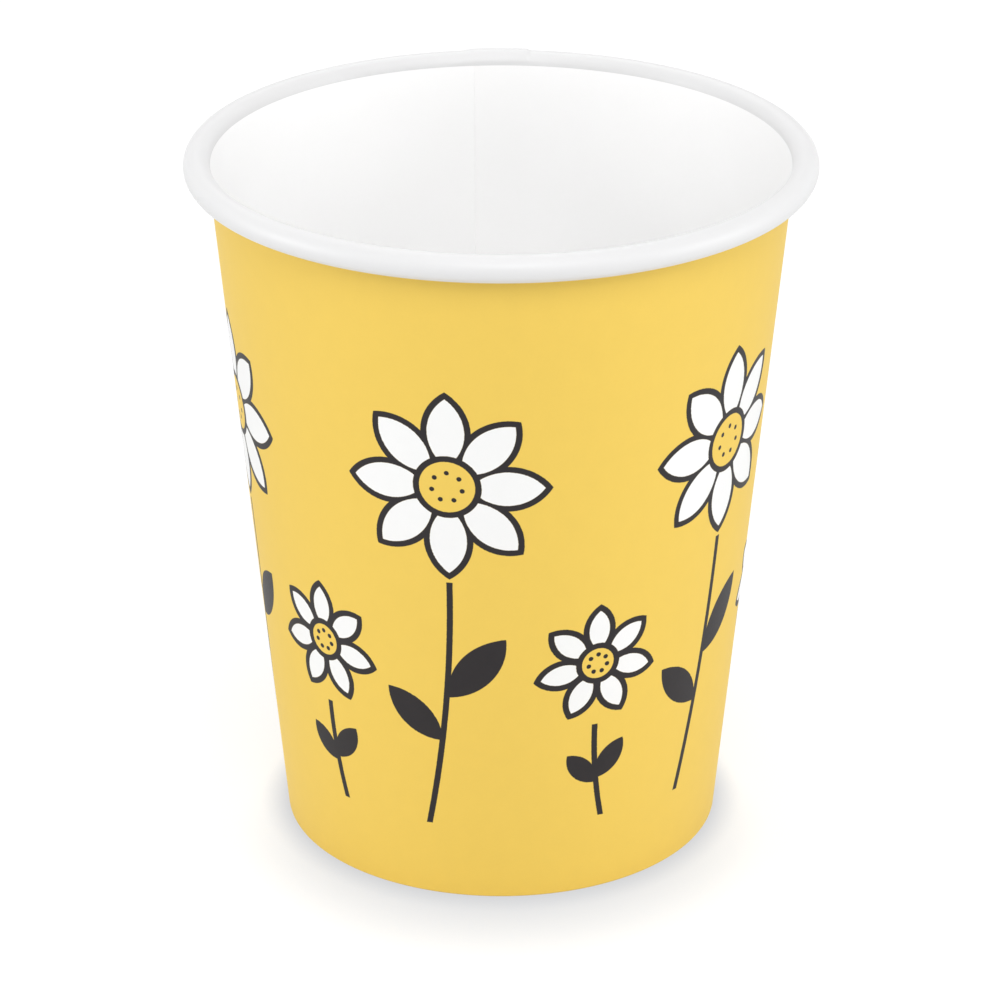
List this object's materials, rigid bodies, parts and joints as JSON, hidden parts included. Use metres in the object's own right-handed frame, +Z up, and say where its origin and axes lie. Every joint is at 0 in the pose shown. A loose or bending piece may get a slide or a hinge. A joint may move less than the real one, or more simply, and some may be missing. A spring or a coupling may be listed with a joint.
{
  "type": "paper cup",
  "caption": "Tapered single-wall paper cup with a rolled rim, a lapped side seam and a recessed bottom in a folded foot; printed board.",
  "frame": {"origin": "centre of the foot's ring, on the surface that the cup stands on", "axes": "+Z up along the cup's axis; the front of the print faces -Y and the side seam is at the back, towards +Y"},
  "size_m": [0.08, 0.08, 0.092],
  "materials": {
    "printed_board": "satin",
    "plain_board": "satin"
  },
  "bodies": {
    "root": {"sidewall": "printed_board", "bottom": "plain_board"}
  },
  "joints": []
}
